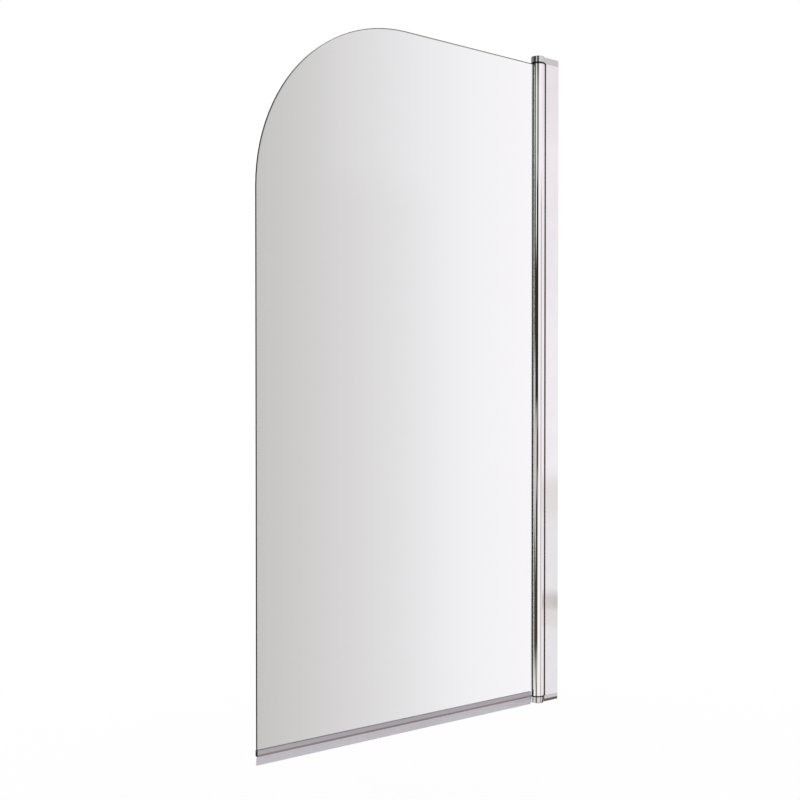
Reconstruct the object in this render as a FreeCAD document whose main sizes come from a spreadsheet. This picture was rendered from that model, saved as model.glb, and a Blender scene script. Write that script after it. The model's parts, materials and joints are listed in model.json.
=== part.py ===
# A hinged bath screen: one pane of toughened glass with a large rounded corner, clamped in a round pivot
# tube that swings between two end caps, on a post that slides in a channel on the wall.
#
# Frame, in millimetres: X points into the wall, whose face is the plane X = 0, so the screen reaches
# towards -X. Y is across the pane, +Y being the side that holds the adjusting screws. Z is up, from the
# lower end of the wall channel. The origin is there, on the wall, in the middle of the channel's width.

import FreeCAD
import Part
import Sketcher
import math
import os

SIZES = {
    # the pane
    "glass_height": 1400,
    "glass_reach": 724.7,  # from the pivot axis to the free edge
    "glass_thickness": 5,
    "corner_radius": 350,
    "arris": 0.5,  # the small bevel along every edge of the glass
    # the pivot tube, which holds the hinge edge of the pane
    "pivot_reach": 55.3,  # from the wall to the pivot axis
    "tube_radius": 15.5,
    "tube_wall": 1.5,
    "boss_wall": 1.5,  # round the bore that takes the bushes
    "web_thickness": 1.6,  # from that bore to the far side of the tube
    "pocket_wall": 1.3,  # beside the glass
    "gasket_thickness": 1,
    "lip_reach": 0.8,  # of a gasket, out of the tube along the glass
    "lip_height": 0.9,  # of a gasket, off the glass, outside the tube
    "edge_block_thickness": 1.5,
    "edge_block_length": 60,
    "edge_block_width": 4.6,
    "edge_block_inset": 70,  # from the ends of the glass
    # the pivots
    "pin_radius": 3,
    "pin_play": 0.05,
    "pin_in_block": 10,
    "pin_in_bush": 20,
    "bush_wall": 1.6,
    "bush_length": 24,
    "head_gap": 4.2,  # from the tube's upper end to its cap
    "foot_gap": 2.8,  # from its lower end to its cap, on which it rests
    "washer_play": 0.3,
    "washer_radius": 13.5,
    # the channel on the wall
    "channel_width": 20,
    "channel_depth": 39,
    "channel_wall": 1.6,
    "channel_web": 2,
    "channel_gap": 0.3,  # from the channel's ends to the caps
    "lip_rounding": 0.6,
    "wall_hole_radius": 3,
    "outer_hole_spacing": 1200,
    "inner_hole_spacing": 400,
    # the post that slides in it
    "post_play": 0.2,
    "post_wall": 1.5,
    "post_front_gap": 2.3,  # from the tube to the front of the post
    "post_screw_cover": 0.9,  # from that front to the holes for the pivot blocks' screws
    "post_screw_backing": 1,  # from those holes to the inside of the post
    "post_back_gap": 3.5,  # from the channel's web
    "post_seal_thickness": 1.3,  # at its thinnest, behind the tube
    "post_seal_side": 2.3,  # at its sides
    "post_seal_stem": 2.4,
    "post_seal_key": 2.6,
    # the adjustment
    "slide_travel": 15,
    "adjust_screw_radius": 2,
    "adjust_head_radius": 3.6,
    "adjust_head_height": 2.4,
    "adjust_key_width": 2.5,
    "adjust_key_depth": 1.4,
    "adjust_play": 0.2,
    "adjust_behind_front": 4.2,  # from the back of the post's front to the screws
    "adjust_inset": 150,  # from the channel's ends
    "nut_side": 6.4,
    "nut_thickness": 3,
    "nut_play": 0.1,
    "screw_past_nut": 0.8,
    "cover_radius": 5.6,
    "cover_wall": 1,
    "cover_rounding": 0.8,
    # the end caps and the pivot blocks inside them
    "cap_height": 13.5,
    "cap_wall": 1.5,
    "cap_play": 0.2,
    "cap_wall_gap": 0.4,
    "cap_rounding": 1.2,
    "nose_radius": 15.5,
    "neck_radius": 4,
    "block_screw_radius": 1.75,
    "block_head_radius": 3,
    "block_head_height": 1.9,
    "block_screw_spacing": 9.2,
    "block_screw_in_post": 16,
    "block_key_width": 2,
    "block_key_depth": 1,
    # the seal along the bottom of the pane
    "seal_grip": 10.5,
    "seal_wall": 1.4,
    "seal_web": 1.5,
    "seal_rounding": 1.2,
    "clip_from_axis": 21.9,  # from the pivot axis to its near end
    "fin_from_axis": 18.7,
    "fin_length": 16.9,
    "fin_root": 1.6,
    "fin_root_offset": 1.9,  # of its root, from the middle of the glass towards the front
    "fin_bend_depth": 8,  # where it stops leaning back and hangs straight
    "fin_waist": 1.1,
    "fin_tip": 0.8,
    "fin_tip_offset": 0.8,  # of its tip, from the middle of the glass towards the rear
}
ADJUST_COUNT = 3
EDGE_BLOCK_COUNT = 3
SHEET = "sizes"
NEGLIGIBLE = 1e-9
HALF_TURN = 180

doc = FreeCAD.newDocument("bath_screen")


def make_sheet():
    """Write the driving sizes to the sheet, one row each: the name, then the number with that alias."""
    sheet = doc.addObject("Spreadsheet::Sheet", SHEET)
    for row, (name, number) in enumerate(SIZES.items(), start=1):
        sheet.set(f"A{row}", name)
        sheet.set(f"B{row}", str(number))
        sheet.setAlias(f"B{row}", name)
    doc.recompute()
    return sheet


class Size:
    """A length with its value and its formula in the sheet's names, so that a feature can be bound to it."""

    def __init__(self, value, text):
        self.value = float(value)
        self.text = text

    def __add__(self, other):
        return Size(self.value + value(other), f"({self.text} + {text(other)})")

    def __sub__(self, other):
        return Size(self.value - value(other), f"({self.text} - {text(other)})")

    def __mul__(self, other):
        return Size(self.value * value(other), f"({self.text} * {text(other)})")

    def __truediv__(self, other):
        return Size(self.value / value(other), f"({self.text} / {text(other)})")

    def __neg__(self):
        return Size(-self.value, f"(0 - {self.text})")


def value(length):
    """A length's value in millimetres, whether it is a Size or a plain number."""
    return length.value if isinstance(length, Size) else float(length)


def text(length):
    """A length's formula, whether it is a Size or a plain number."""
    return length.text if isinstance(length, Size) else str(length)


def root(square):
    """The square root of a Size."""
    return Size(math.sqrt(square.value), f"sqrt({square.text})")


class Sizes:
    """The sheet's cells by name, each as a Size."""

    def __getattr__(self, name):
        return Size(SIZES[name], f"{SHEET}.{name}")


S = Sizes()

# ---------------------------------------------------------------- what follows from the driving sizes

# heights
TUBE_FOOT = S.foot_gap - S.channel_gap
TUBE_TOP = TUBE_FOOT + S.glass_height
CHANNEL_TOP = TUBE_TOP + S.head_gap - S.channel_gap
LOWER_CAP_FACE = -S.channel_gap
UPPER_CAP_FACE = CHANNEL_TOP + S.channel_gap
CHANNEL_MIDDLE = CHANNEL_TOP / 2

# across the pane
HALF_GLASS = S.glass_thickness / 2
HALF_POCKET = HALF_GLASS + S.gasket_thickness
HALF_CHANNEL = S.channel_width / 2
HALF_POST = HALF_CHANNEL - S.channel_wall - S.post_play
HALF_POST_INSIDE = HALF_POST - S.post_wall

# outwards from the wall
PIVOT_X = -S.pivot_reach
FREE_EDGE_X = PIVOT_X - S.glass_reach
BUSH_RADIUS = S.pin_radius + S.pin_play + S.bush_wall
BOSS_RADIUS = BUSH_RADIUS + S.boss_wall
POCKET_FLOOR_X = PIVOT_X - BOSS_RADIUS
HINGE_EDGE_X = POCKET_FLOOR_X - S.edge_block_thickness
POCKET_MOUTH_X = PIVOT_X - root(S.tube_radius * S.tube_radius - HALF_POCKET * HALF_POCKET)
CLIP_END_X = PIVOT_X - S.clip_from_axis
FIN_END_X = PIVOT_X - S.fin_from_axis
POST_FRONT_X = PIVOT_X + S.tube_radius + S.post_front_gap
BLOCK_SCREW_X = POST_FRONT_X + S.post_screw_cover + S.block_screw_radius
POST_INSIDE_X = BLOCK_SCREW_X + S.block_screw_radius + S.post_screw_backing
POST_BACK_X = -(S.channel_web + S.post_back_gap)
ADJUST_X = POST_INSIDE_X + S.adjust_behind_front
SLOT_RADIUS = S.adjust_screw_radius + S.adjust_play


# ---------------------------------------------------------------- shared ways of making things


def bind(thing, **lengths):
    """Bind properties of an object to lengths."""
    for name, length in lengths.items():
        if isinstance(length, Size):
            thing.setExpression(name, length.text)
        else:
            setattr(thing, name, length)


def place(thing, x=0, y=0, z=0, turn=0, about=(0, 0, 1)):
    """Turn an object by so many degrees about an axis and stand it at a point whose lengths stay bound."""
    spot = FreeCAD.Vector(value(x), value(y), value(z))
    thing.Placement = FreeCAD.Placement(spot, FreeCAD.Rotation(FreeCAD.Vector(*about), turn))
    for axis, length in (("x", x), ("y", y), ("z", z)):
        if isinstance(length, Size):
            thing.setExpression(f"Placement.Base.{axis}", length.text)
    return thing


def box(name, low, high):
    """A block between two corners."""
    block = doc.addObject("Part::Box", name)
    (x0, y0, z0), (x1, y1, z1) = low, high
    bind(block, Length=x1 - x0, Width=y1 - y0, Height=z1 - z0)
    return place(block, x0, y0, z0)


def cylinder(name, radius, height, x=0, y=0, z=0, turn=0, about=(0, 0, 1)):
    rod = doc.addObject("Part::Cylinder", name)
    bind(rod, Radius=radius, Height=height)
    return place(rod, x, y, z, turn, about)


def hexagon(name, width, height, x=0, y=0, z=0, turn=0, about=(0, 0, 1)):
    """A six-sided prism of the given width across its flats."""
    prism = doc.addObject("Part::Prism", name)
    prism.Polygon = 6
    bind(prism, Circumradius=width / math.sqrt(3), Height=height)
    return place(prism, x, y, z, turn, about)


def cut(name, base, tool):
    result = doc.addObject("Part::Cut", name)
    result.Base, result.Tool = base, tool
    return result


def common(name, first, second):
    result = doc.addObject("Part::Common", name)
    result.Base, result.Tool = first, second
    return result


def fuse(name, *shapes):
    result = doc.addObject("Part::MultiFuse", name)
    result.Shapes = list(shapes)
    result.Refine = True
    return result


def group(name, shapes):
    """Identical pieces that share one node, as separate solids."""
    result = doc.addObject("Part::Compound", name)
    result.Links = list(shapes)
    return result


def new_body(name):
    return doc.addObject("PartDesign::Body", name)


def sketch_on(body, plane, name, offset=None):
    """A sketch on one of the body's own origin planes, or at an offset along its normal."""
    sketch = body.newObject("Sketcher::SketchObject", name)
    face = [feature for feature in body.Origin.OriginFeatures if feature.Role == plane][0]
    sketch.AttachmentSupport = [(face, "")]
    sketch.MapMode = "FlatFace"
    if offset is not None:
        sketch.setExpression("AttachmentOffset.Base.z", offset.text)
    return sketch


def hold(sketch, constraint, length):
    """Add a constraint whose size stays bound to a length."""
    index = sketch.addConstraint(constraint)
    if isinstance(length, Size):
        sketch.setExpression(f"Constraints[{index}]", length.text)


def hold_point(sketch, element, end, x, y):
    """Hold a point of a sketch at a distance from the origin along each axis."""
    for kind, axis, length in (("DistanceX", -2, x), ("DistanceY", -1, y)):
        if abs(value(length)) < NEGLIGIBLE:
            sketch.addConstraint(Sketcher.Constraint("PointOnObject", element, end, axis))
        else:
            hold(sketch, Sketcher.Constraint(kind, -1, 1, element, end, value(length)), length)


def draw_polygon(sketch, points):
    """A closed outline of straight lines, each corner held by its distances."""
    first = sketch.GeometryCount
    corners = [FreeCAD.Vector(value(x), value(y), 0) for x, y in points]
    count = len(corners)
    for i in range(count):
        sketch.addGeometry(Part.LineSegment(corners[i], corners[(i + 1) % count]), False)
    for i in range(count):
        following = first + (i + 1) % count
        sketch.addConstraint(Sketcher.Constraint("Coincident", first + i, 2, following, 1))
    for i, (x, y) in enumerate(points):
        hold_point(sketch, first + i, 1, x, y)


def draw_rectangle(sketch, x0, y0, x1, y1):
    draw_polygon(sketch, [(x0, y0), (x1, y0), (x1, y1), (x0, y1)])


def draw_circle(sketch, x, y, radius):
    centre = FreeCAD.Vector(value(x), value(y), 0)
    element = sketch.addGeometry(Part.Circle(centre, FreeCAD.Vector(0, 0, 1), value(radius)), False)
    hold_point(sketch, element, 3, x, y)
    hold(sketch, Sketcher.Constraint("Radius", element, value(radius)), radius)


def draw_arc(sketch, centre, radius, start, end):
    """An arc between two angles in radians, anticlockwise. Returns its number in the sketch."""
    circle = Part.Circle(FreeCAD.Vector(*centre, 0), FreeCAD.Vector(0, 0, 1), radius)
    return sketch.addGeometry(Part.ArcOfCircle(circle, start, end), False)


def draw_line(sketch, start, end):
    return sketch.addGeometry(Part.LineSegment(FreeCAD.Vector(*start, 0), FreeCAD.Vector(*end, 0)), False)


def draw_keyhole(sketch, nose, half_bar, neck, end_x):
    """The caps' outline: a round nose on the pivot axis, with a straight bar to the wall.

    Small arcs of radius neck ease the nose into the bar.
    """
    radius, half, ease = value(nose), value(half_bar), value(neck)
    pivot, end = value(PIVOT_X), value(end_x)
    along = math.sqrt((radius + ease) ** 2 - (half + ease) ** 2)
    angle = math.atan2(half + ease, along)
    right = math.pi / 2
    neck_x, neck_y = pivot + along, half + ease
    wall_end = draw_line(sketch, (end, -half), (end, half))
    upper = draw_line(sketch, (end, half), (neck_x, half))
    upper_neck = draw_arc(sketch, (neck_x, neck_y), ease, math.pi + angle, 3 * right)
    round_nose = draw_arc(sketch, (pivot, 0), radius, angle, 2 * math.pi - angle)
    lower_neck = draw_arc(sketch, (neck_x, -neck_y), ease, right, math.pi - angle)
    lower = draw_line(sketch, (neck_x, -half), (end, -half))
    for constraint in (
        ("Coincident", wall_end, 2, upper, 1),
        ("Tangent", upper, 2, upper_neck, 2),
        ("Tangent", upper_neck, 1, round_nose, 1),
        ("Tangent", round_nose, 2, lower_neck, 2),
        ("Tangent", lower_neck, 1, lower, 1),
        ("Coincident", lower, 2, wall_end, 1),
        ("Horizontal", upper),
        ("Horizontal", lower),
        ("Equal", upper_neck, lower_neck),
    ):
        sketch.addConstraint(Sketcher.Constraint(*constraint))
    hold_point(sketch, wall_end, 2, end_x, half_bar)
    hold_point(sketch, wall_end, 1, end_x, -half_bar)
    hold_point(sketch, round_nose, 3, PIVOT_X, 0)
    hold(sketch, Sketcher.Constraint("Radius", round_nose, radius), nose)
    hold(sketch, Sketcher.Constraint("Radius", upper_neck, ease), neck)


def pad(body, sketch, name, length, both_ways=False):
    feature = body.newObject("PartDesign::Pad", name)
    feature.Profile = sketch
    bind(feature, Length=length)
    feature.Midplane = both_ways
    body.Tip = feature
    doc.recompute()
    return feature


def pocket(body, sketch, name, length, forwards=False):
    """Cut a sketch's outline out of a body, against its plane's normal or forwards along it."""
    before = body.Shape.Volume
    feature = body.newObject("PartDesign::Pocket", name)
    feature.Profile = sketch
    bind(feature, Length=length)
    feature.Reversed = forwards
    body.Tip = feature
    doc.recompute()
    if body.Shape.Volume > before - NEGLIGIBLE:
        raise RuntimeError(f"{name} removes nothing")
    return feature


def dress(body, kind, name, base, wanted, **lengths):
    """Round or bevel the edges of a feature for which wanted is true."""
    edges = [f"Edge{i}" for i, edge in enumerate(base.Shape.Edges, start=1) if wanted(edge)]
    feature = body.newObject(kind, name)
    feature.Base = (base, edges)
    bind(feature, **lengths)
    body.Tip = feature
    doc.recompute()
    return feature


def lies_at(edge, axis, length):
    """Does a whole edge lie in the plane where a coordinate, 0 to 2 for X to Z, has this length?"""
    bounds = edge.BoundBox
    low = (bounds.XMin, bounds.YMin, bounds.ZMin)[axis]
    high = (bounds.XMax, bounds.YMax, bounds.ZMax)[axis]
    near = 1e-4
    return abs(low - value(length)) < near and abs(high - value(length)) < near


def even_steps(first, last, count):
    """Evenly spaced lengths from first to last."""
    return [first + (last - first) * (i / (count - 1)) for i in range(count)]


# ---------------------------------------------------------------- fixed to the wall


def adjust_heights():
    return even_steps(S.adjust_inset, CHANNEL_TOP - S.adjust_inset, ADJUST_COUNT)


def wall_channel():
    """The U-shaped channel, open towards the room, with wall holes in its web and screw holes in one arm."""
    body = new_body("wall_channel")
    inner = HALF_CHANNEL - S.channel_wall
    lips_x = -S.channel_depth
    profile = sketch_on(body, "XY_Plane", "channel_profile")
    draw_polygon(
        profile,
        [
            (0, HALF_CHANNEL),
            (lips_x, HALF_CHANNEL),
            (lips_x, inner),
            (-S.channel_web, inner),
            (-S.channel_web, -inner),
            (lips_x, -inner),
            (lips_x, -HALF_CHANNEL),
            (0, -HALF_CHANNEL),
        ],
    )
    extrusion = pad(body, profile, "channel_extrusion", CHANNEL_TOP)
    dress(
        body,
        "PartDesign::Fillet",
        "channel_lips",
        extrusion,
        lambda edge: lies_at(edge, 0, lips_x)
        and (lies_at(edge, 1, HALF_CHANNEL) or lies_at(edge, 1, -HALF_CHANNEL)),
        Radius=S.lip_rounding,
    )
    wall_holes = sketch_on(body, "YZ_Plane", "wall_holes")
    for spacing in (S.outer_hole_spacing, S.inner_hole_spacing):
        for height in (CHANNEL_MIDDLE - spacing / 2, CHANNEL_MIDDLE + spacing / 2):
            draw_circle(wall_holes, 0, height, S.wall_hole_radius)
    pocket(body, wall_holes, "wall_hole_cut", S.channel_web)
    arm_holes = sketch_on(body, "XZ_Plane", "arm_holes")
    for height in adjust_heights():
        draw_circle(arm_holes, ADJUST_X, height, S.adjust_screw_radius)
    pocket(body, arm_holes, "arm_hole_cut", HALF_CHANNEL)


def adjusting_screws():
    """Pan-head screws through the channel's arm and the slots of the post, with a six-sided socket each."""
    screws = []
    shank_end = HALF_POST_INSIDE - S.nut_play - S.nut_thickness - S.screw_past_nut
    upright = {"turn": -HALF_TURN / 2, "about": (1, 0, 0)}
    for i, height in enumerate(adjust_heights()):
        spot = {"x": ADJUST_X, "z": height, **upright}
        shank_length = HALF_CHANNEL - shank_end
        shank = cylinder(f"adjust_shank_{i}", S.adjust_screw_radius, shank_length, y=shank_end, **spot)
        head = cylinder(
            f"adjust_head_{i}", S.adjust_head_radius, S.adjust_head_height, y=HALF_CHANNEL, **spot
        )
        key_floor = HALF_CHANNEL + S.adjust_head_height - S.adjust_key_depth
        key = hexagon(f"adjust_key_{i}", S.adjust_key_width, S.adjust_key_depth, y=key_floor, **spot)
        solid = fuse(f"adjust_solid_{i}", shank, head)
        screws.append(cut(f"adjust_screw_{i}", solid, key))
    group("adjusting_screws", screws)


def clamp_nuts():
    """Square nuts inside the post, which the adjusting screws draw against its arm."""
    nuts = []
    half = S.nut_side / 2
    far = HALF_POST_INSIDE - S.nut_play
    for i, height in enumerate(adjust_heights()):
        low = (ADJUST_X - half, far - S.nut_thickness, height - half)
        high = (ADJUST_X + half, far, height + half)
        plate = box(f"nut_plate_{i}", low, high)
        bore = cylinder(
            f"nut_bore_{i}",
            S.adjust_screw_radius,
            S.nut_thickness,
            ADJUST_X,
            far - S.nut_thickness,
            height,
            turn=-HALF_TURN / 2,
            about=(1, 0, 0),
        )
        nuts.append(cut(f"nut_{i}", plate, bore))
    group("clamp_nuts", nuts)


def screw_covers():
    """Round snap-on covers over the heads of the adjusting screws."""
    covers = []
    inside = S.cover_radius - S.cover_wall
    depth = S.adjust_head_height + S.adjust_play
    for i, height in enumerate(adjust_heights()):
        body = new_body(f"cover_{i}")
        outline = sketch_on(body, "XY_Plane", f"cover_outline_{i}")
        draw_circle(outline, 0, 0, S.cover_radius)
        disc = pad(body, outline, f"cover_disc_{i}", depth + S.cover_wall)
        dress(
            body,
            "PartDesign::Fillet",
            f"cover_rim_{i}",
            disc,
            lambda edge: lies_at(edge, 2, depth + S.cover_wall),
            Radius=S.cover_rounding,
        )
        hollow = sketch_on(body, "XY_Plane", f"cover_hollow_{i}")
        draw_circle(hollow, 0, 0, inside)
        pocket(body, hollow, f"cover_hollow_cut_{i}", depth, forwards=True)
        place(body, ADJUST_X, HALF_CHANNEL, height, turn=-HALF_TURN / 2, about=(1, 0, 0))
        covers.append(body)
    group("screw_covers", covers)


# ---------------------------------------------------------------- the post and what it carries


def hinge_post():
    """The sliding post, a U open to the wall.

    Two holes along it take the pivot blocks' screws, a keyway holds the seal strip, and slots in one arm
    let it slide past the adjusting screws.
    """
    body = new_body("hinge_post")
    profile = sketch_on(body, "XY_Plane", "post_profile")
    draw_polygon(
        profile,
        [
            (POST_BACK_X, HALF_POST),
            (POST_FRONT_X, HALF_POST),
            (POST_FRONT_X, -HALF_POST),
            (POST_BACK_X, -HALF_POST),
            (POST_BACK_X, -HALF_POST_INSIDE),
            (POST_INSIDE_X, -HALF_POST_INSIDE),
            (POST_INSIDE_X, HALF_POST_INSIDE),
            (POST_BACK_X, HALF_POST_INSIDE),
        ],
    )
    for side in (-1, 1):
        draw_circle(profile, BLOCK_SCREW_X, S.block_screw_spacing / 2 * side, S.block_screw_radius)
    length = UPPER_CAP_FACE - LOWER_CAP_FACE
    pad(body, profile, "post_extrusion", length)
    keyway = sketch_on(body, "XY_Plane", "post_keyway")
    half_key = S.post_seal_stem / 2
    draw_rectangle(keyway, PIVOT_X, -half_key, POST_FRONT_X + S.post_seal_key, half_key)
    pocket(body, keyway, "post_keyway_cut", length, forwards=True)
    slots = sketch_on(body, "XZ_Plane", "post_slots")
    for height in adjust_heights():
        middle = height - LOWER_CAP_FACE
        draw_rectangle(
            slots,
            ADJUST_X - SLOT_RADIUS,
            middle - SLOT_RADIUS,
            ADJUST_X + SLOT_RADIUS + S.slide_travel,
            middle + SLOT_RADIUS,
        )
    pocket(body, slots, "post_slot_cut", HALF_POST)
    place(body, z=LOWER_CAP_FACE)


def post_seal():
    """The dark strip on the post's front, keyed into it and hollowed round the tube, just clear of it."""
    length = UPPER_CAP_FACE - LOWER_CAP_FACE
    side_low = (POST_FRONT_X - S.post_seal_side, -HALF_POST, LOWER_CAP_FACE)
    block = box("seal_block", side_low, (POST_FRONT_X, HALF_POST, UPPER_CAP_FACE))
    hollow_radius = S.tube_radius + S.post_front_gap - S.post_seal_thickness
    hollow = cylinder("seal_hollow", hollow_radius, length, PIVOT_X, 0, LOWER_CAP_FACE)
    strip = cut("seal_strip", block, hollow)
    half_stem = S.post_seal_stem / 2
    stem_low = (POST_FRONT_X - S.post_seal_thickness / 2, -half_stem, LOWER_CAP_FACE)
    stem_high = (POST_FRONT_X + S.post_seal_key, half_stem, UPPER_CAP_FACE)
    fuse("post_seal", strip, box("seal_stem", stem_low, stem_high))


def end_place(thing, upper):
    """Stand a piece of the pivots at its end: as drawn at the top, turned over at the bottom."""
    if upper:
        return place(thing, z=UPPER_CAP_FACE)
    return place(thing, z=LOWER_CAP_FACE, turn=HALF_TURN, about=(1, 0, 0))


def end_gap(upper):
    """How far the tube's end is from its cap."""
    return S.head_gap if upper else S.foot_gap


def end_cap(name, upper):
    """The keyhole-shaped cover, a shell that is open towards the tube."""
    body = new_body(name)
    outline = sketch_on(body, "XY_Plane", f"{name}_outline")
    draw_keyhole(outline, S.nose_radius, HALF_CHANNEL, S.neck_radius, -S.cap_wall_gap)
    block = pad(body, outline, f"{name}_block", S.cap_height)
    dress(
        body,
        "PartDesign::Fillet",
        f"{name}_edge",
        block,
        lambda edge: lies_at(edge, 2, S.cap_height),
        Radius=S.cap_rounding,
    )
    inside = sketch_on(body, "XY_Plane", f"{name}_inside")
    draw_keyhole(
        inside,
        S.nose_radius - S.cap_wall,
        HALF_CHANNEL - S.cap_wall,
        S.neck_radius + S.cap_wall,
        -(S.cap_wall_gap + S.cap_wall),
    )
    pocket(body, inside, f"{name}_hollow", S.cap_height - S.cap_wall, forwards=True)
    end_place(body, upper)


def pivot_block(name, upper):
    """The block inside a cap, which holds the pivot pin and is screwed to the end of the post."""
    body = new_body(name)
    shell = S.cap_wall + S.cap_play
    height = S.cap_height - shell
    outline = sketch_on(body, "XY_Plane", f"{name}_outline")
    draw_keyhole(
        outline,
        S.nose_radius - shell,
        HALF_CHANNEL - shell,
        S.neck_radius + shell,
        -(S.cap_wall_gap + shell),
    )
    pad(body, outline, f"{name}_solid", height)
    bore = sketch_on(body, "XY_Plane", f"{name}_bore")
    draw_circle(bore, PIVOT_X, 0, S.pin_radius)
    pocket(body, bore, f"{name}_bore_cut", S.pin_in_block, forwards=True)
    holes = sketch_on(body, "XY_Plane", f"{name}_holes")
    seats = sketch_on(body, "XY_Plane", f"{name}_seats", offset=height)
    for side in (-1, 1):
        y = S.block_screw_spacing / 2 * side
        draw_circle(holes, BLOCK_SCREW_X, y, S.block_screw_radius)
        draw_circle(seats, BLOCK_SCREW_X, y, S.block_head_radius)
    pocket(body, holes, f"{name}_hole_cut", height, forwards=True)
    pocket(body, seats, f"{name}_seat_cut", S.block_head_height)
    end_place(body, upper)


def pivot_pin(name, upper):
    """The steel pin, fast in its block and running in the tube's bush."""
    start = -(end_gap(upper) + S.pin_in_bush)
    rod = cylinder(f"{name}_rod", S.pin_radius, S.pin_in_block - start, PIVOT_X, 0, start)
    end_place(group(name, [rod]), upper)


def block_screws(name, upper):
    """The two screws that hold a pivot block to the post."""
    screws = []
    top = S.cap_height - S.cap_wall - S.cap_play
    seat = top - S.block_head_height
    for i, side in enumerate((-1, 1)):
        spot = {"x": BLOCK_SCREW_X, "y": S.block_screw_spacing / 2 * side}
        shank = cylinder(
            f"{name}_shank_{i}",
            S.block_screw_radius,
            seat + S.block_screw_in_post,
            z=-S.block_screw_in_post,
            **spot,
        )
        head = cylinder(f"{name}_head_{i}", S.block_head_radius, S.block_head_height, z=seat, **spot)
        solid = fuse(f"{name}_solid_{i}", shank, head)
        key_floor = top - S.block_key_depth
        key = hexagon(f"{name}_key_{i}", S.block_key_width, S.block_key_depth, z=key_floor, **spot)
        screws.append(cut(f"{name}_{i}", solid, key))
    end_place(group(name, screws), upper)


def thrust_washer(name, upper):
    """The black ring between a cap and the end of the tube."""
    thickness = end_gap(upper) - S.washer_play
    disc = cylinder(f"{name}_disc", S.washer_radius, thickness, PIVOT_X, 0, -thickness)
    hole = cylinder(f"{name}_hole", S.pin_radius + S.pin_play, thickness, PIVOT_X, 0, -thickness)
    end_place(cut(name, disc, hole), upper)


# ---------------------------------------------------------------- the swinging screen


def pivot_tube():
    """The round extrusion: a pocket for the glass, a bore for the bushes and a web behind it."""
    spot = {"x": PIVOT_X, "z": TUBE_FOOT}
    outside = cylinder("tube_outside", S.tube_radius, S.glass_height, **spot)
    inside = cylinder("tube_inside", S.tube_radius - S.tube_wall, S.glass_height, **spot)
    shell = cut("tube_shell", outside, inside)
    boss = cylinder("tube_boss", BOSS_RADIUS, S.glass_height, **spot)
    half_web = S.web_thickness / 2
    web_low = (PIVOT_X, -half_web, TUBE_FOOT)
    web = box("tube_web", web_low, (PIVOT_X + S.tube_radius - S.tube_wall / 2, half_web, TUBE_TOP))
    half_block = HALF_POCKET + S.pocket_wall
    block_low = (PIVOT_X - S.tube_radius, -half_block, TUBE_FOOT)
    block = box("tube_pocket_block", block_low, (PIVOT_X, half_block, TUBE_TOP))
    round_block = cylinder("tube_round", S.tube_radius, S.glass_height, **spot)
    walls = common("tube_pocket_walls", block, round_block)
    solid = fuse("tube_solid", shell, boss, web, walls)
    pocket_low = (PIVOT_X - S.tube_radius * 2, -HALF_POCKET, TUBE_FOOT)
    mouth = box("tube_pocket", pocket_low, (POCKET_FLOOR_X, HALF_POCKET, TUBE_TOP))
    bore = cylinder("tube_bore", BUSH_RADIUS, S.glass_height, **spot)
    slotted = cut("tube_slotted", solid, mouth)
    cut("pivot_tube", slotted, bore)


def glass_panel():
    """The pane, with one large round corner and a small bevel along its edges."""
    body = new_body("glass_panel")
    outline = sketch_on(body, "XZ_Plane", "glass_outline")
    left, right = value(FREE_EDGE_X), value(HINGE_EDGE_X)
    low, high, radius = value(TUBE_FOOT), value(TUBE_TOP), value(S.corner_radius)
    bottom = draw_line(outline, (left, low), (right, low))
    hinge_edge = draw_line(outline, (right, low), (right, high))
    top = draw_line(outline, (right, high), (left + radius, high))
    corner = draw_arc(outline, (left + radius, high - radius), radius, math.pi / 2, math.pi)
    free_edge = draw_line(outline, (left, high - radius), (left, low))
    for constraint in (
        ("Coincident", bottom, 2, hinge_edge, 1),
        ("Coincident", hinge_edge, 2, top, 1),
        ("Tangent", top, 2, corner, 1),
        ("Tangent", corner, 2, free_edge, 1),
        ("Coincident", free_edge, 2, bottom, 1),
        ("Vertical", free_edge),
        ("Horizontal", top),
    ):
        outline.addConstraint(Sketcher.Constraint(*constraint))
    hold_point(outline, bottom, 1, FREE_EDGE_X, TUBE_FOOT)
    hold_point(outline, bottom, 2, HINGE_EDGE_X, TUBE_FOOT)
    hold_point(outline, top, 1, HINGE_EDGE_X, TUBE_TOP)
    hold(outline, Sketcher.Constraint("Radius", corner, radius), S.corner_radius)
    pane = pad(body, outline, "glass_pane", S.glass_thickness, both_ways=True)
    dress(
        body,
        "PartDesign::Chamfer",
        "glass_arris",
        pane,
        lambda edge: lies_at(edge, 1, HALF_GLASS) or lies_at(edge, 1, -HALF_GLASS),
        Size=S.arris,
    )


def gasket(name, side):
    """A strip between the glass and one wall of the tube's pocket, with a lip along the glass outside."""
    body = new_body(name)
    profile = sketch_on(body, "XY_Plane", f"{name}_profile")
    lip_x = POCKET_MOUTH_X - S.lip_reach
    crest_x = POCKET_MOUTH_X - S.lip_reach / 4
    draw_polygon(
        profile,
        [
            (HINGE_EDGE_X, HALF_GLASS * side),
            (lip_x, HALF_GLASS * side),
            (crest_x, (HALF_GLASS + S.lip_height) * side),
            (POCKET_MOUTH_X, HALF_POCKET * side),
            (HINGE_EDGE_X, HALF_POCKET * side),
        ],
    )
    pad(body, profile, f"{name}_strip", S.glass_height)
    place(body, z=TUBE_FOOT)


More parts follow.
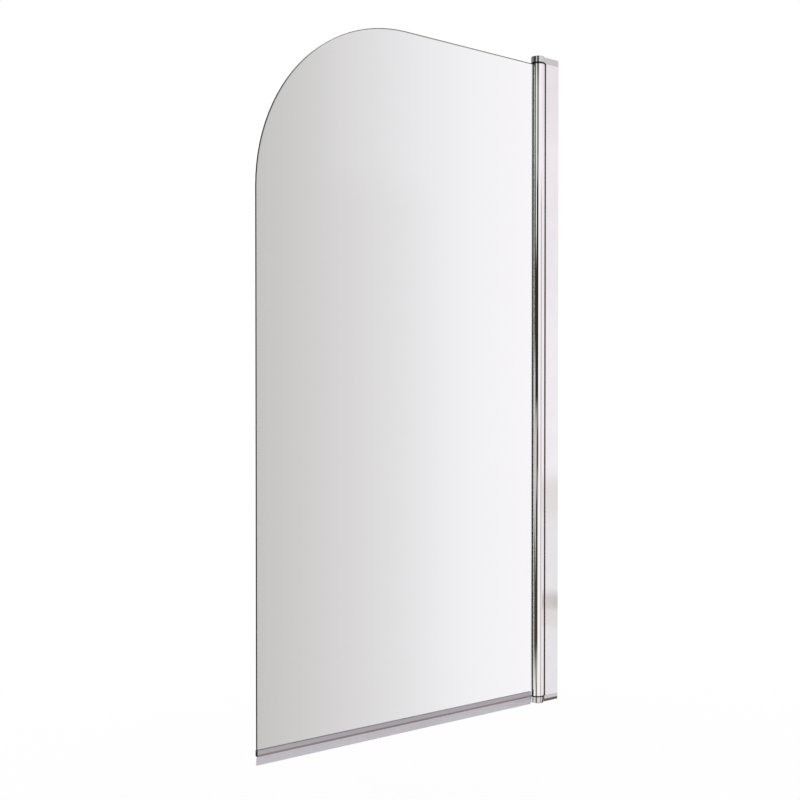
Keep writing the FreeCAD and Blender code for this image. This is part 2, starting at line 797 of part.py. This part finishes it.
def edge_blocks():
    """Small blocks between the hinge edge of the glass and the floor of the tube's pocket."""
    blocks = []
    half = S.edge_block_width / 2
    first = TUBE_FOOT + S.edge_block_inset
    last = TUBE_TOP - S.edge_block_inset - S.edge_block_length
    for i, foot in enumerate(even_steps(first, last, EDGE_BLOCK_COUNT)):
        low = (HINGE_EDGE_X, -half, foot)
        blocks.append(box(f"edge_block_{i}", low, (POCKET_FLOOR_X, half, foot + S.edge_block_length)))
    group("edge_blocks", blocks)


def bush(name, foot):
    """A plastic sleeve in the tube's bore, in which a pivot pin turns."""
    spot = {"x": PIVOT_X, "z": foot}
    sleeve = cylinder(f"{name}_sleeve", BUSH_RADIUS, S.bush_length, **spot)
    hole = cylinder(f"{name}_hole", S.pin_radius + S.pin_play, S.bush_length, **spot)
    cut(name, sleeve, hole)


def seal_clip():
    """The stiff part of the bottom seal, a U pushed up over the lower edge of the glass."""
    body = new_body("seal_clip")
    profile = sketch_on(body, "YZ_Plane", "clip_profile", offset=FREE_EDGE_X)
    outside = HALF_GLASS + S.seal_wall
    top = TUBE_FOOT + S.seal_grip
    foot = TUBE_FOOT - S.seal_web
    draw_polygon(
        profile,
        [
            (-outside, top - S.seal_wall / 2),
            (-(HALF_GLASS + S.seal_wall / 2), top),
            (-HALF_GLASS, top),
            (-HALF_GLASS, TUBE_FOOT),
            (HALF_GLASS, TUBE_FOOT),
            (HALF_GLASS, top),
            (HALF_GLASS + S.seal_wall / 2, top),
            (outside, top - S.seal_wall / 2),
            (outside, foot),
            (-outside, foot),
        ],
    )
    strip = pad(body, profile, "clip_strip", CLIP_END_X - FREE_EDGE_X)
    dress(
        body,
        "PartDesign::Fillet",
        "clip_corners",
        strip,
        lambda edge: lies_at(edge, 2, foot)
        and (lies_at(edge, 1, outside) or lies_at(edge, 1, -outside)),
        Radius=S.seal_rounding,
    )


def seal_fin():
    """The soft fin under the clip, which leans back, then hangs straight and wipes the rim of the bath."""
    body = new_body("seal_fin")
    profile = sketch_on(body, "YZ_Plane", "fin_profile", offset=FREE_EDGE_X)
    top = TUBE_FOOT - S.seal_web
    rows = [
        (top, -S.fin_root_offset, S.fin_root / 2),
        (top - S.fin_bend_depth, S.fin_tip_offset, S.fin_waist / 2),
        (top - S.fin_length, S.fin_tip_offset, S.fin_tip / 2),
    ]
    front = [(middle - half, height) for height, middle, half in rows]
    rear = [(middle + half, height) for height, middle, half in reversed(rows)]
    draw_polygon(profile, front + rear)
    pad(body, profile, "fin_strip", FIN_END_X - FREE_EDGE_X)


# ---------------------------------------------------------------- the whole


def build():
    make_sheet()
    wall_channel()
    adjusting_screws()
    clamp_nuts()
    screw_covers()
    hinge_post()
    post_seal()
    for end, upper in (("top", True), ("bottom", False)):
        end_cap(f"{end}_cap", upper)
        pivot_block(f"{end}_pivot_block", upper)
        pivot_pin(f"{end}_pivot_pin", upper)
        block_screws(f"{end}_block_screws", upper)
        thrust_washer(f"{end}_washer", upper)
    pivot_tube()
    glass_panel()
    gasket("front_gasket", -1)
    gasket("rear_gasket", 1)
    edge_blocks()
    bush("top_bush", TUBE_TOP - S.bush_length)
    bush("bottom_bush", TUBE_FOOT)
    seal_clip()
    seal_fin()
    doc.recompute()


def check_and_export(nodes):
    """Stop if anything failed to build. Otherwise write each sub-part to its own file."""
    for thing in doc.Objects:
        if {"Invalid", "Error"} & set(thing.State):
            raise RuntimeError(f"{thing.Name} did not build: {thing.State}")
    for name in nodes:
        shape = doc.getObject(name).Shape
        if shape.isNull() or not shape.isValid():
            raise RuntimeError(f"{name} has no valid shape")
    os.makedirs("parts", exist_ok=True)
    for name in nodes:
        sub_part = doc.getObject(name)
        sub_part.Label = name
        sub_part.Shape.exportStep(f"parts/{name}.step")
        bounds = sub_part.Shape.BoundBox
        print(
            f"{name:22s} solids {len(sub_part.Shape.Solids)} volume {sub_part.Shape.Volume:11.1f}"
            f" x {bounds.XMin:8.2f} {bounds.XMax:8.2f} y {bounds.YMin:7.2f} {bounds.YMax:7.2f}"
            f" z {bounds.ZMin:8.2f} {bounds.ZMax:8.2f}"
        )


WALL_SIDE = ["wall_channel", "adjusting_screws", "clamp_nuts", "screw_covers"]
POST_SIDE = ["hinge_post", "post_seal"] + [
    f"{end}_{piece}"
    for end in ("top", "bottom")
    for piece in ("cap", "pivot_block", "pivot_pin", "block_screws", "washer")
]
SCREEN_SIDE = [
    "pivot_tube",
    "glass_panel",
    "front_gasket",
    "rear_gasket",
    "edge_blocks",
    "top_bush",
    "bottom_bush",
    "seal_clip",
    "seal_fin",
]

build()
check_and_export(WALL_SIDE + POST_SIDE + SCREEN_SIDE)
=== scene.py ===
"""A hinged bath screen: a clear pane with one round corner in a pivot tube, on a wall channel.

Metres, in the part's own frame: +X into the wall, +Y across the pane, +Z up. The pane lies to -X.
"""

import json
import math

import bpy
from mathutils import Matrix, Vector


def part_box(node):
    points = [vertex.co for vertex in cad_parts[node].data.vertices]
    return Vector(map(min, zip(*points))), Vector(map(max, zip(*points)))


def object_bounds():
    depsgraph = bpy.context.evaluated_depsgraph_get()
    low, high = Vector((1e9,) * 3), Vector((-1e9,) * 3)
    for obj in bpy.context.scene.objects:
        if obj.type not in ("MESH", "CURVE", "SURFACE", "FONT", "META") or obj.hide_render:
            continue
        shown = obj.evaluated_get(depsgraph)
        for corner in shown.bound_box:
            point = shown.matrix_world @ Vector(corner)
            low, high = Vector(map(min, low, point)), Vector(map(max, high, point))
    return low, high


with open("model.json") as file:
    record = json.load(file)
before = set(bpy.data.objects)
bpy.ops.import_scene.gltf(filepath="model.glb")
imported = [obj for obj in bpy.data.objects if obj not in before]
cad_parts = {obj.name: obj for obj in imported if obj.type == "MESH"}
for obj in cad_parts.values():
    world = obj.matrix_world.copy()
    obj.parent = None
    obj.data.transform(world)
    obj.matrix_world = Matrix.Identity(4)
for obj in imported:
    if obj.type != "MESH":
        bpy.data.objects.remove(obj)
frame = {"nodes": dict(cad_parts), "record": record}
cad_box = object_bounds()
nodes = frame["nodes"]

# ---------------------------------------------------------------- the part's colours


def linear(*levels):
    """A colour in light, from its levels of 0 to 255 on a screen by the sRGB curve."""
    shares = [level / 255 for level in levels]
    lights = [s / 12.92 if s <= 0.04045 else ((s + 0.055) / 1.055) ** 2.4 for s in shares]
    return (*lights, 1.0)


def darker(colour, share):
    """A share of a colour, as solid as before."""
    return tuple(c * share for c in colour[:3]) + (1.0,)


WHITE = (1.0, 1.0, 1.0, 1.0)
# The pane's greys are painted shade: the glass is clear, painted greyer towards its free edge
GLASS_NEAR_EDGE = linear(194, 193, 191)
GLASS_FAR = linear(204, 203, 202)
GLASS_OUTER = linear(216, 214, 215)
GLASS_MIDDLE = linear(232, 232, 234)
GLASS_INNER = linear(241, 240, 243)
GLASS_NEAR_TUBE = linear(248, 246, 248)
GLASS_RIM = linear(58, 66, 58)
# a painted dark band on the face near the upper edge, standing in for the ground rim seen through
# the glass
GLASS_RIM_SEEN_THROUGH = linear(70, 76, 68)
BRIGHT_METAL = linear(243, 241, 243)
CAP_METAL = linear(212, 209, 211)
STEEL = linear(196, 196, 198)
CASTING = linear(176, 176, 178)
GREEN_RUBBER = linear(34, 76, 46)
# a dark rubber whose brown is partly painted shade of the gap between the tube and the channel
RUBBER_AND_GAP_SHADE = linear(56, 44, 30)
BLACK_PLASTIC = linear(20, 18, 18)
WHITE_PLASTIC = linear(232, 231, 227)
# Painted shade on the seal's clip: dark at its foot, a little darker at its upper lip than over its
# body
SEAL_FOOT_SHADE = linear(144, 128, 129)
SEAL_BODY = linear(184, 178, 186)
SEAL_LIP = linear(180, 175, 183)
SEAL_CUT_END = linear(44, 38, 42)
SOFT_PLASTIC = linear(211, 208, 214)

# ---------------------------------------------------------------- node trees

CLOUD_LOW = 0.3  # the levels of a noise between which a tone goes from dark to plain
CLOUD_HIGH = 0.7


class Tree:
    """A material's or the world's node tree, with short ways to add to it."""

    def __init__(self, owner):
        owner.use_nodes = True
        self.nodes = owner.node_tree.nodes
        self.links = owner.node_tree.links
        self.nodes.clear()

    def add(self, kind, **settings):
        node = self.nodes.new(kind)
        for name, setting in settings.items():
            setattr(node, name, setting)
        return node

    def join(self, source, target):
        self.links.new(source, target)

    def put(self, value, socket):
        """Set a socket to a number, or join it to another node's output."""
        if isinstance(value, bpy.types.NodeSocket):
            self.join(value, socket)
        else:
            socket.default_value = value

    def maths(self, operation, *values):
        node = self.add("ShaderNodeMath", operation=operation)
        for value, socket in zip(values, node.inputs):
            self.put(value, socket)
        return node.outputs[0]

    def ramp(self, factor, stops):
        """A colour that runs through stops, each a place from 0 to 1 and a colour."""
        node = self.add("ShaderNodeValToRGB")
        elements = node.color_ramp.elements
        while len(elements) < len(stops):
            elements.new(0.5)
        for element, (place, colour) in zip(elements, stops):
            element.position = place
            element.color = colour
        self.join(factor, node.inputs["Fac"])
        return node.outputs["Color"]

    def clouded(self, cloud, colour, share):
        """A colour that a noise darkens in places, to a share of itself."""
        return self.ramp(cloud, [(CLOUD_LOW, darker(colour, share)), (CLOUD_HIGH, colour)])

    def blend(self, factor, first, second):
        """The first colour at a factor of 0, and the second at 1."""
        node = self.add("ShaderNodeMix", data_type="RGBA")
        self.put(factor, node.inputs["Factor"])
        self.put(first, node.inputs[6])
        self.put(second, node.inputs[7])
        return node.outputs[2]

    def place(self):
        """A point's X, Y and Z on the piece as it was drawn, wherever a joint has moved it."""
        return self.split(self.add("ShaderNodeTexCoord").outputs["Object"])

    def facing(self):
        """The X, Y and Z of a face's normal on the piece as it was drawn."""
        return self.split(self.add("ShaderNodeTexCoord").outputs["Normal"])

    def split(self, vector):
        node = self.add("ShaderNodeSeparateXYZ")
        self.join(vector, node.inputs[0])
        return node.outputs[0], node.outputs[1], node.outputs[2]

    def between(self, value, low, high):
        """How far a value has come from low to high, held to 0 to 1."""
        node = self.add("ShaderNodeMapRange")
        self.put(value, node.inputs["Value"])
        node.inputs["From Min"].default_value = low
        node.inputs["From Max"].default_value = high
        return node.outputs[0]

    def squares(self, first, second):
        """The sum of two squares."""
        return self.maths("MULTIPLY_ADD", first, first, self.maths("MULTIPLY", second, second))

    def noise(self, scale, stretch=(1, 1, 1), detail=3.0):
        """A soft pattern of so many features a metre. A small stretch draws it out."""
        spread = self.add("ShaderNodeMapping")
        spread.inputs["Scale"].default_value = stretch
        self.join(self.add("ShaderNodeTexCoord").outputs["Object"], spread.inputs["Vector"])
        node = self.add("ShaderNodeTexNoise")
        node.inputs["Scale"].default_value = scale
        node.inputs["Detail"].default_value = detail
        self.join(spread.outputs[0], node.inputs["Vector"])
        return node.outputs["Fac"]

    def bump(self, height, distance, strength=1.0):
        node = self.add("ShaderNodeBump")
        node.inputs["Distance"].default_value = distance
        node.inputs["Strength"].default_value = strength
        self.join(height, node.inputs["Height"])
        return node.outputs["Normal"]

    def either(self, factor, first, second):
        """The first shader at a factor of 0, and the second at 1."""
        node = self.add("ShaderNodeMixShader")
        for socket, source in zip(node.inputs, (factor, first, second)):
            self.join(source, socket)
        return node.outputs[0]

    def glow(self, colour, strength=1.0):
        """A shader that needs no light."""
        node = self.add("ShaderNodeEmission")
        self.put(colour, node.inputs["Color"])
        self.put(strength, node.inputs["Strength"])
        return node.outputs[0]

    def principled(self, **inputs):
        """The surface shader. Inputs are named as on the node, with _ for a space."""
        node = self.add("ShaderNodeBsdfPrincipled")
        for name, value in inputs.items():
            self.put(value, node.inputs[name.replace("_", " ")])
        return node.outputs[0]

    def finish(self, shader):
        self.join(shader, self.add("ShaderNodeOutputMaterial").inputs["Surface"])


def material(name, make):
    result = bpy.data.materials.new(name)
    make(Tree(result))
    return result


# ---------------------------------------------------------------- the materials

# Grains and clouds are features a metre, stretches draw them out along a piece, and depths are in
# metres. Each DARKER is the share of its colour that a cloud leaves where it is darkest.
METAL_STRETCH = (1, 1, 0.004)
METAL_DEPTH = 0.00001
METAL_CLOUD = 30.0
METAL_DARKER = 0.97
SKIN_GRAIN = 900.0
SKIN_STRETCH = (1, 1, 0.02)
SKIN_DEPTH = 0.00003
SKIN_STRENGTH = 0.5
SKIN_CLOUD = 45.0
SKIN_CLOUD_STRETCH = (1, 1, 0.05)
SKIN_DARKER = 0.85
LINE_DETAIL = 2.0  # octaves in the noise of drawn lines
STRIP_GRAIN = 2500.0
STRIP_STRETCH = (0.003, 1, 1)
STRIP_DEPTH = 0.00005
STRIP_STRENGTH = 0.6
FIN_CLOUD = 14.0
FIN_CLOUD_STRETCH = (0.3, 1, 1)
FIN_DARKER = 0.94
REFRACTION = 1.5  # of glass, and of the clear plastic


def metal(colour, roughness, spread, grain):
    """Metal with faint lines up its length, and a roughness that varies over a spread."""

    def make(tree):
        lines = tree.noise(grain, stretch=METAL_STRETCH, detail=LINE_DETAIL)
        cloud = tree.noise(METAL_CLOUD)
        rough = tree.maths("MULTIPLY_ADD", cloud, spread, roughness)
        tree.finish(
            tree.principled(
                Base_Color=tree.clouded(cloud, colour, METAL_DARKER),
                Metallic=1.0,
                Roughness=rough,
                Normal=tree.bump(lines, METAL_DEPTH),
            )
        )

    return make


def matt(colour, roughness, sheen=0.5):
    """Moulded plastic or extruded rubber, with a fine skin drawn out upwards."""

    def make(tree):
        skin = tree.noise(SKIN_GRAIN, stretch=SKIN_STRETCH)
        cloud = tree.noise(SKIN_CLOUD, stretch=SKIN_CLOUD_STRETCH)
        tree.finish(
            tree.principled(
                Base_Color=tree.clouded(cloud, colour, SKIN_DARKER),
                Roughness=roughness,
                Specular_IOR_Level=sheen,
                Normal=tree.bump(skin, SKIN_DEPTH, SKIN_STRENGTH),
            )
        )

    return make


PANE_CORNER = 0.350  # the radius of the round corner
# The face's dark band near its upper edge is painted, for the ground rim seen through the glass
RIM_DEPTH = 0.0018  # how far in from the upper edge the pane shows the dark of its ground rim
RIM_FADE = 0.15  # the height over which that starts, up from the foot of the round corner
FACE_STARTS = 0.55  # a normal's share along Y at which the ground edge starts to turn to clear face
FACE_FULL = 0.85

# Painted shade over the clear pane, from the free edge to the hinge edge, in shares of the pane's
# width
PANE_SHADE_TONES = [
    (0.0, GLASS_NEAR_EDGE),
    (0.15, GLASS_FAR),
    (0.27, GLASS_OUTER),
    (0.54, GLASS_MIDDLE),
    (0.75, GLASS_INNER),
    (1.0, GLASS_NEAR_TUBE),
]


def glass(tree):
    """Clear glass with dark ground edges; its grey towards the free edge and a dark band along its
    upper edge are painted shade. Lamps shine through.
    """
    low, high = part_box("glass_panel")
    x, _, z = tree.place()
    # painted shade: the pane greys from the hinge towards its free edge
    clear = tree.ramp(tree.between(x, low.x, high.x), PANE_SHADE_TONES)
    left_of_corner = tree.maths("MAXIMUM", tree.maths("SUBTRACT", low.x + PANE_CORNER, x), 0.0)
    above_corner = tree.maths("MAXIMUM", tree.maths("SUBTRACT", z, high.z - PANE_CORNER), 0.0)
    from_centre = tree.maths("SQRT", tree.squares(left_of_corner, above_corner))
    along_edge = tree.between(from_centre, PANE_CORNER - RIM_DEPTH, PANE_CORNER - RIM_DEPTH / 2)
    upper = tree.between(above_corner, 0.0, RIM_FADE)
    # painted shade: the dark band along the upper edge laid over the painted grey
    painted_shade = tree.blend(tree.maths("MULTIPLY", along_edge, upper), clear, GLASS_RIM_SEEN_THROUGH)
    face = tree.between(tree.maths("ABSOLUTE", tree.facing()[1]), FACE_STARTS, FACE_FULL)
    colour = tree.blend(face, GLASS_RIM, painted_shade)
    surface = tree.principled(
        Base_Color=colour, Roughness=0.0, IOR=REFRACTION, Transmission_Weight=1.0
    )
    passing = tree.add("ShaderNodeBsdfTransparent")
    tree.join(painted_shade, passing.inputs["Color"])
    lamps = tree.add("ShaderNodeLightPath").outputs["Is Shadow Ray"]
    tree.finish(tree.either(lamps, surface, passing.outputs[0]))


def cloudy_strip(tone, roughness, clearness):
    """Milky plastic in a tone that a function makes, with fine lines along it from the die."""

    def make(tree):
        lines = tree.noise(STRIP_GRAIN, stretch=STRIP_STRETCH, detail=LINE_DETAIL)
        tree.finish(
            tree.principled(
                Base_Color=tone(tree),
                Roughness=roughness,
                IOR=REFRACTION,
                Transmission_Weight=clearness,
                Normal=tree.bump(lines, STRIP_DEPTH, STRIP_STRENGTH),
            )
        )

    return make


END_STARTS = 0.6  # a normal's share along X at which the clip's side starts to turn to its cut end
END_FULL = 0.8

# Painted shade up the clip, from its foot to its upper lip, in shares of its height: dark at the
# foot, a little darker at the lip
CLIP_SHADE_TONES = [
    (0.0, SEAL_FOOT_SHADE),
    (0.26, SEAL_FOOT_SHADE),
    (0.42, SEAL_BODY),
    (0.55, SEAL_BODY),
    (0.8, SEAL_LIP),
]


def clip_tone(tree):
    """The seal's clip: painted shade darkens its foot and, a little, its upper lip; its cut ends
    are darker.
    """
    low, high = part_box("seal_clip")
    # painted shade by height up the clip
    side = tree.ramp(tree.between(tree.place()[2], low.z, high.z), CLIP_SHADE_TONES)
    cut_end = tree.between(tree.maths("ABSOLUTE", tree.facing()[0]), END_STARTS, END_FULL)
    return tree.blend(cut_end, side, SEAL_CUT_END)


def fin_tone(tree):
    """The seal's fin, a little cloudy."""
    cloud = tree.noise(FIN_CLOUD, stretch=FIN_CLOUD_STRETCH)
    return tree.clouded(cloud, SOFT_PLASTIC, FIN_DARKER)


# Finishes by the name of the material slot in the record, and one more for a node of its own. Each
# metal is given its colour, its roughness, the spread of that, and the grain of its lines.
FINISHES = {
    "bright_aluminium": metal(BRIGHT_METAL, 0.03, 0.04, 4000.0),
    "cap_chrome": metal(CAP_METAL, 0.025, 0.02, 1500.0),
    "bright_plastic": metal(CAP_METAL, 0.08, 0.05, 1500.0),
    "screw_steel": metal(STEEL, 0.25, 0.1, 3000.0),
    "cast_block": metal(CASTING, 0.45, 0.15, 900.0),
    "black_plastic": matt(BLACK_PLASTIC, 0.5),
    "white_plastic": matt(WHITE_PLASTIC, 0.45),
    "dark_rubber": matt(GREEN_RUBBER, 0.5, sheen=0.2),
    "rubber_and_gap_shade": matt(RUBBER_AND_GAP_SHADE, 0.5, sheen=0.3),
    "clear_glass": glass,
    "clear_seal": cloudy_strip(clip_tone, roughness=0.2, clearness=0.2),
    "soft_seal": cloudy_strip(fin_tone, roughness=0.3, clearness=0.6),
}
# The post seal is dark rubber whose brown is partly painted shade, for the gap between the tube and
# the channel
OWN_FINISHES = {"post_seal": "rubber_and_gap_shade"}  # nodes whose finish isn't their slot's


def dress_nodes():
    """Give every CAD node its finish."""
    made = {name: material(name, make) for name, make in FINISHES.items()}
    for part in frame["record"]["subparts"]:
        finish = OWN_FINISHES.get(part["node"], part["material_slot"])
        for slot in nodes[part["node"]].material_slots:
            slot.material = made[finish]


# ---------------------------------------------------------------- the studio

FLOOR_DROP = 0.55  # the screen stands on a bath's rim, so high above the floor
FLOOR_HALF_SIZE = 12.0
FLOOR_SHADOW_SHARE = 0.25  # how much of the floor's white is lit, and so can be shaded
NEAR_GLOW = 0.03  # what the paper glows more by near the object, to make up for the lit share
SHADOW_NEAR = 1.0  # how far from the object the floor starts to turn plain white
SHADOW_FAR = 3.0
PAPER = (0.95, 0.95, 0.95, 1.0)
SKY_LEVEL = 0.85  # of the light that the white world gives, while it looks like 1

KEY_PLACE = (-1.6, -2.2, 2.9)
KEY_SIZE = 1.8
KEY_WATTS = 28.0

# Two dark cards that only reflections show: one high over the object, one just below its wall side
OVERHEAD_PLACE = (-0.6, -0.55, 2.3)
OVERHEAD_ALONG = (0.28, -0.28, 0)
OVERHEAD_UP = (0.22, 0.22, 0)
BELOW_DROP = 0.02
BELOW_OUT = -0.046
BELOW_ALONG = (0.09, 0, 0)
BELOW_UP = (0, 0.041, 0)

# The surround is a round upright sheet, and its patches fade out over these widths
SURROUND_RADIUS = 1.2
SURROUND_STEPS = 96
SURROUND_LOW = -0.55
SURROUND_HIGH = 2.6
SOFT_DEGREES = 5.0
SOFT_HEIGHT = 0.14

BLACK_CLOTH = linear(20, 16, 14)
BROWN_CLOTH = linear(72, 56, 48)
SKIN_BROWN = linear(206, 165, 152)
TAN_MAT = linear(140, 108, 80)
TAN_CURTAIN = linear(184, 172, 162)
GREEN_WALL = linear(106, 114, 106)
DARK_GREEN = linear(52, 70, 58)
GREY_WALL = linear(120, 118, 114)
DARK_GREY = linear(64, 58, 54)
BROWN_RIM = linear(120, 108, 100)
PALE_GREY = linear(206, 205, 206)
PALE_WALL = linear(254, 250, 253)
WALL_HEAD = linear(250, 246, 249)
WALL_TOP = linear(244, 239, 242)
WALL_FOOT = linear(243, 241, 242)
PALE_SILL = linear(237, 233, 230)
PALE_RAIL = linear(206, 203, 198)
RAIL_FOOT = linear(233, 230, 226)

# The patches: two bearings in degrees from -Y towards +X, two heights in metres, and a colour.
# Later patches lie over earlier ones.
ROOM = {
    "right_wall": (38, 100, -0.7, 2.8, PALE_WALL),
    "right_wall_head": (38, 100, 0.97, 2.8, WALL_HEAD),
    "right_wall_top": (38, 100, 1.55, 2.8, WALL_TOP),
    "right_wall_foot": (38, 100, -0.7, 0.42, WALL_FOOT),
    "far_left": (-176, -112, -0.22, 1.74, DARK_GREEN),
    "far_left_top": (-178, -116, 1.74, 2.8, BROWN_RIM),
    "far_right": (118, 150, 0.7, 2.8, DARK_GREY),
    "left_wall": (-116, -73, -0.2, 2.8, GREEN_WALL),
    "left_dusk": (-96, -73, 0.8, 1.4, DARK_GREY),
    "left_bench": (-112, -73, 0.25, 0.8, PALE_GREY),
    "left_beam": (-122, -75, 1.75, 2.8, BLACK_CLOTH),
    "shelf": (-77, -55, 0.6, 1.16, BROWN_CLOTH),
    "shelf_foot": (-80, -58, -0.22, 0.14, BROWN_CLOTH),
    "shelf_middle": (-67, -54, 0.38, 0.58, SKIN_BROWN),
    "doorway": (-54, -28, 1.4, 1.82, GREY_WALL),
    "figure": (-58, -31, 0.6, 1.42, BLACK_CLOTH),
    "figure_knee": (-53, -27, 0.38, 0.62, BROWN_CLOTH),
    "figure_foot": (-67, -36, -0.2, 0.4, BROWN_CLOTH),
    "mat": (-66, -42, -0.7, -0.2, TAN_MAT),
    "beam": (-62, -22, 1.75, 2.8, BLACK_CLOTH),
    "curtain": (12, 28, -0.7, 1.35, TAN_CURTAIN),
    "sill": (44.5, 100, 0.29, 0.4, PALE_SILL),
    "rail": (44.5, 100, -0.022, 0.034, PALE_RAIL),
    "rail_foot": (44.5, 100, -0.075, -0.022, RAIL_FOOT),
}
# Patches that fade out over less height
SHARPER = {"right_wall_foot": 0.06, "sill": 0.05, "rail": 0.03, "rail_foot": 0.02}


def seen_directly(tree):
    """1 for rays from the camera, gloss and glass, and 0 for the light on dull surfaces."""
    rays = tree.add("ShaderNodeLightPath").outputs
    return tree.maths(
        "MAXIMUM",
        rays["Is Camera Ray"],
        tree.maths("MAXIMUM", rays["Is Glossy Ray"], rays["Is Transmission Ray"]),
    )


def white_world():
    """A white surround, at a plain level for the light that it gives."""
    world = bpy.data.worlds.new("studio")
    bpy.context.scene.world = world
    tree = Tree(world)
    strength = tree.maths("MULTIPLY_ADD", seen_directly(tree), 1.0 - SKY_LEVEL, SKY_LEVEL)
    background = tree.add("ShaderNodeBackground")
    background.inputs["Color"].default_value = WHITE
    tree.join(strength, background.inputs["Strength"])
    tree.join(background.outputs[0], tree.add("ShaderNodeOutputWorld").inputs["Surface"])


def floor_finish(tree):
    """White paper, of which a share shows the object's shadow, near the object."""
    lit = tree.add("ShaderNodeBsdfDiffuse")
    lit.inputs["Color"].default_value = PAPER
    x, y, _ = tree.place()
    near = tree.between(tree.maths("SQRT", tree.squares(x, y)), SHADOW_FAR, SHADOW_NEAR)
    glow = tree.glow(WHITE, tree.maths("MULTIPLY_ADD", near, NEAR_GLOW, 1.0))
    shaded = tree.maths("MULTIPLY", near, FLOOR_SHADOW_SHARE)
    share = tree.maths("MULTIPLY", seen_directly(tree), tree.maths("SUBTRACT", 1.0, shaded))
    tree.finish(tree.either(share, lit.outputs[0], glow))


def stage_sheet(name, corners, faces, finish):
    """A stage piece with one finish."""
    mesh = bpy.data.meshes.new(name)
    mesh.from_pydata(corners, [], faces)
    sheet = bpy.data.objects.new(name, mesh)
    bpy.context.scene.collection.objects.link(sheet)
    sheet.data.materials.append(material(name, finish))
    return sheet


def flat_sheet(name, centre, along, up, finish):
    """A flat rectangle given by its centre and its two half sides."""
    centre, along, up = Vector(centre), Vector(along), Vector(up)
    corners = [centre - along - up, centre + along - up, centre + along + up, centre - along + up]
    return stage_sheet(name, [tuple(c) for c in corners], [(0, 1, 2, 3)], finish)


def soft_lamp(name, position, target, size, power):
    """A square lamp that looks at a target, and doesn't show in gloss."""
    lamp = bpy.data.lights.new(name, "AREA")
    lamp.size = size
    lamp.energy = power
    holder = bpy.data.objects.new(name, lamp)
    holder.location = position
    aim = Vector(target) - Vector(position)
    holder.rotation_mode = "QUATERNION"
    holder.rotation_quaternion = aim.to_track_quat("-Z", "Y")
    holder.visible_glossy = False
    bpy.context.scene.collection.objects.link(holder)


def only_in_gloss(sheet):
    """Show a sheet in reflections alone."""
    sheet.visible_camera = False
    sheet.visible_diffuse = False
    sheet.visible_transmission = False
    sheet.visible_shadow = False


def pivot_x():
    """Where the tube's axis stands."""
    low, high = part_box("top_pivot_pin")
    return (low.x + high.x) / 2


def window(tree, value, low, high, softness):
    """1 between two limits and 0 outside them, with soft ends."""
    rise = tree.between(value, low - softness / 2, low + softness / 2)
    fall = tree.between(value, high + softness / 2, high - softness / 2)
    return tree.maths("MULTIPLY", rise, fall)


def surround_finish(tree):
    """White, with the soft patches of a room that polished metal shows."""
    x, y, z = tree.place()
    bearing = tree.maths(
        "ARCTAN2", tree.maths("SUBTRACT", x, pivot_x()), tree.maths("MULTIPLY", y, -1.0)
    )
    softness = math.radians(SOFT_DEGREES)
    colour = WHITE
    for name, (start, end, low, high, tone) in ROOM.items():
        across = window(tree, bearing, math.radians(start), math.radians(end), softness)
        up = window(tree, z, low, high, SHARPER.get(name, SOFT_HEIGHT))
        colour = tree.blend(tree.maths("MULTIPLY", across, up), colour, tone)
    tree.finish(tree.glow(colour))


def surround():
    """A round upright sheet about the pivot, which shows only in gloss."""
    corners = []
    for i in range(SURROUND_STEPS):
        turn = math.tau * i / SURROUND_STEPS
        x = pivot_x() + SURROUND_RADIUS * math.sin(turn)
        y = -SURROUND_RADIUS * math.cos(turn)
        corners += [(x, y, SURROUND_LOW), (x, y, SURROUND_HIGH)]
    count = len(corners)
    faces = [(i, (i + 2) % count, (i + 3) % count, i + 1) for i in range(0, count, 2)]
    only_in_gloss(stage_sheet("surround", corners, faces, surround_finish))


def dark_card(name, centre, along, up, colour):
    """A flat card of one colour, which shows only in gloss."""
    only_in_gloss(flat_sheet(name, centre, along, up, lambda tree: tree.finish(tree.glow(colour))))


def studio():
    """The white floor and world, the lamp, and what the gloss shows."""
    low, high = cad_box
    half = FLOOR_HALF_SIZE
    flat_sheet("floor", (0, 0, low.z - FLOOR_DROP), (half, 0, 0), (0, half, 0), floor_finish)
    soft_lamp("key", KEY_PLACE, (low + high) / 2, KEY_SIZE, KEY_WATTS)
    surround()
    dark_card("overhead", OVERHEAD_PLACE, OVERHEAD_ALONG, OVERHEAD_UP, DARK_GREY)
    below = (0, BELOW_OUT, low.z - BELOW_DROP)
    dark_card("rim_below", below, BELOW_ALONG, BELOW_UP, BROWN_RIM)
    white_world()


# ---------------------------------------------------------------- the camera

CAMERA_PLACE = (-1.8723, -1.8218, 0.6546)
CAMERA_TURN = math.radians(38.10)  # clockwise from +Y, seen from above
CAMERA_DIP = math.radians(0.746)  # below the level
FOCAL_PIXELS = 1147.0
IMAGE_PIXELS = 800.0
LENS_SHIFT = 17.4  # in pixels; it lowers the object in the picture
SENSOR_MM = 36.0
SIGHT_LIMIT = 100.0


def camera():
    """The camera that the outline in the photograph was fitted with."""
    data = bpy.data.cameras.new("camera")
    data.sensor_width = SENSOR_MM
    data.lens = FOCAL_PIXELS / IMAGE_PIXELS * SENSOR_MM
    data.shift_y = LENS_SHIFT / IMAGE_PIXELS
    data.clip_end = SIGHT_LIMIT
    holder = bpy.data.objects.new("camera", data)
    holder.location = CAMERA_PLACE
    holder.rotation_euler = (math.radians(90) - CAMERA_DIP, 0, -CAMERA_TURN)
    bpy.context.scene.collection.objects.link(holder)
    bpy.context.scene.camera = holder


# ---------------------------------------------------------------- the whole

dress_nodes()
camera()
studio()
bpy.context.scene.view_settings.view_transform = "Standard"
